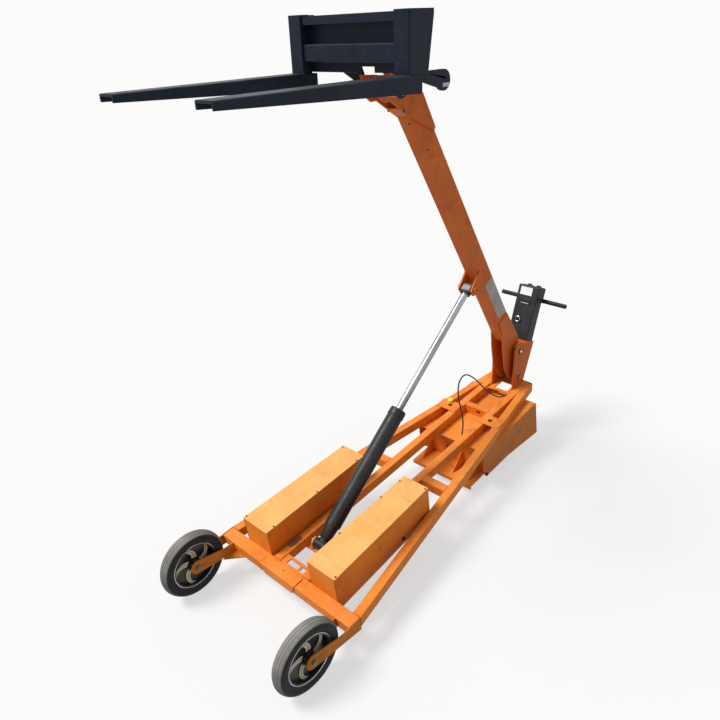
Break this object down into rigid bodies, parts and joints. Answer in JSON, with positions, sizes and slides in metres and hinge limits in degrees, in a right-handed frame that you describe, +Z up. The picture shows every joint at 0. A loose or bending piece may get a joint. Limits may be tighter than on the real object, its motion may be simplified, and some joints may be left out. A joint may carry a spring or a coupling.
{
  "type": "electric stacker",
  "caption": "Walk-behind electric stacker: a single arm lifts level forks over a tapered orange frame with two front wheels and a rear castor.",
  "frame": {"origin": "middle of the footprint, on the ground", "axes": "+Z up; -Y towards the fork tips; +X to the side of the rear lug, nearer to the camera in the picture"},
  "size_m": [0.818, 2.3355, 2.2299],
  "materials": {
    "orange_paint": "satin, worn and dusty",
    "black_paint": "satin, scuffed at the edges",
    "tyre": "matte, dusty",
    "castor_rubber": "matte",
    "rim_black": "satin, with light painted spokes",
    "steel": "zinc, dull",
    "chrome_rod": "polished",
    "black_plastic": "fine grain",
    "black_cable": "satin",
    "yellow_plastic": "gloss"
  },
  "bodies": {
    "chassis": {"front_beam": "orange_paint", "beam_patch": "orange_paint", "outer_rail_left": "orange_paint", "outer_rail_right": "orange_paint", "inner_rail_left": "orange_paint", "inner_rail_right": "orange_paint", "cross_members": "orange_paint", "slotted_plate": "orange_paint", "frame_end_plate": "orange_paint", "tab_plates": "orange_paint", "wheel_plates_left": "orange_paint", "wheel_plates_right": "orange_paint", "front_axle_bolts": "steel", "battery_box_left": "orange_paint", "battery_box_right": "orange_paint", "box_lids": "orange_paint", "batteries": "black_plastic", "housing_panels": "orange_paint", "housing_roof": "orange_paint", "housing_front_wall": "orange_paint", "housing_tray": "orange_paint", "housing_rear_wall": "orange_paint", "tower_sides": "orange_paint", "tower_web": "orange_paint", "tower_base": "orange_paint", "tower_pins": "steel", "control_head": "black_plastic", "steering_bar": "black_paint", "head_controls": "black_plastic", "cylinder_foot_bracket": "orange_paint", "cylinder_foot_pin": "steel", "castor_mount": "steel", "cable": "black_cable", "yellow_cap": "yellow_plastic"},
    "front_wheel_left": {"front_tyre_left": "tyre", "front_rim_left": "rim_black"},
    "front_wheel_right": {"front_tyre_right": "tyre", "front_rim_right": "rim_black"},
    "castor_swivel": {"castor_fork": "steel", "castor_axle": "steel"},
    "castor_wheel": {"castor_tyre": "castor_rubber", "castor_centre": "steel"},
    "lifting_arm": {"arm_channel": "orange_paint", "arm_foot_plates": "orange_paint", "arm_head": "orange_paint", "cylinder_ears": "orange_paint", "eye_pins": "steel"},
    "levelling_link": {"levelling_link": "orange_paint"},
    "fork_carriage": {"carriage_uprights": "black_paint", "carriage_bars": "black_paint", "carriage_back_plate": "black_paint", "fork_left": "black_paint", "fork_right": "black_paint", "carriage_brackets": "black_paint", "carriage_pins": "steel", "rear_lug": "black_paint"},
    "lift_cylinder": {"cylinder_barrel": "black_paint"},
    "lift_rod": {"cylinder_rod": "chrome_rod"}
  },
  "joints": [
    {"name": "front_wheel_left_turn", "type": "hinge", "parent": "chassis", "child": "front_wheel_left", "pos_m": [0.359, -1.01575, 0.152], "axis": [1, 0, 0], "continuous": true},
    {"name": "front_wheel_right_turn", "type": "hinge", "parent": "chassis", "child": "front_wheel_right", "pos_m": [-0.359, -1.01575, 0.152], "axis": [1, 0, 0], "continuous": true},
    {"name": "castor_turn", "type": "hinge", "parent": "chassis", "child": "castor_swivel", "pos_m": [0, 0.62069, 0.1], "axis": [0, 0, 1], "continuous": true},
    {"name": "castor_wheel_turn", "type": "hinge", "parent": "castor_swivel", "child": "castor_wheel", "pos_m": [0, 0.66569, 0.1], "axis": [1, 0, 0], "continuous": true},
    {"name": "arm_lift", "type": "hinge", "parent": "chassis", "child": "lifting_arm", "pos_m": [0, 0.91048, 0.38945], "axis": [1, 0, 0], "range_deg": [0, 64.7]},
    {"name": "link_turn", "type": "hinge", "parent": "chassis", "child": "levelling_link", "pos_m": [0, 0.90506, 0.55579], "axis": [1, 0, 0], "range_deg": [0, 64.7]},
    {"name": "carriage_level", "type": "hinge", "parent": "lifting_arm", "child": "fork_carriage", "pos_m": [0, -0.14632, 1.98387], "axis": [1, 0, 0], "range_deg": [-64.7, 0]},
    {"name": "cylinder_turn", "type": "hinge", "parent": "chassis", "child": "lift_cylinder", "pos_m": [0, -0.58838, 0.16605], "axis": [1, 0, 0], "range_deg": [-30.4, 0]},
    {"name": "rod_slide", "type": "slide", "parent": "lift_cylinder", "child": "lift_rod", "axis": [0, 0.7752, 0.6317], "range_m": [-0.643, 0]}
  ],
  "couplings": [
    {"joint": "link_turn", "follows": "arm_lift", "ratio": 1},
    {"joint": "carriage_level", "follows": "arm_lift", "ratio": -1},
    {"joint": "cylinder_turn", "follows": "arm_lift", "ratio": -0.46932},
    {"joint": "rod_slide", "follows": "arm_lift", "m_per_rad": -0.56893}
  ]
}
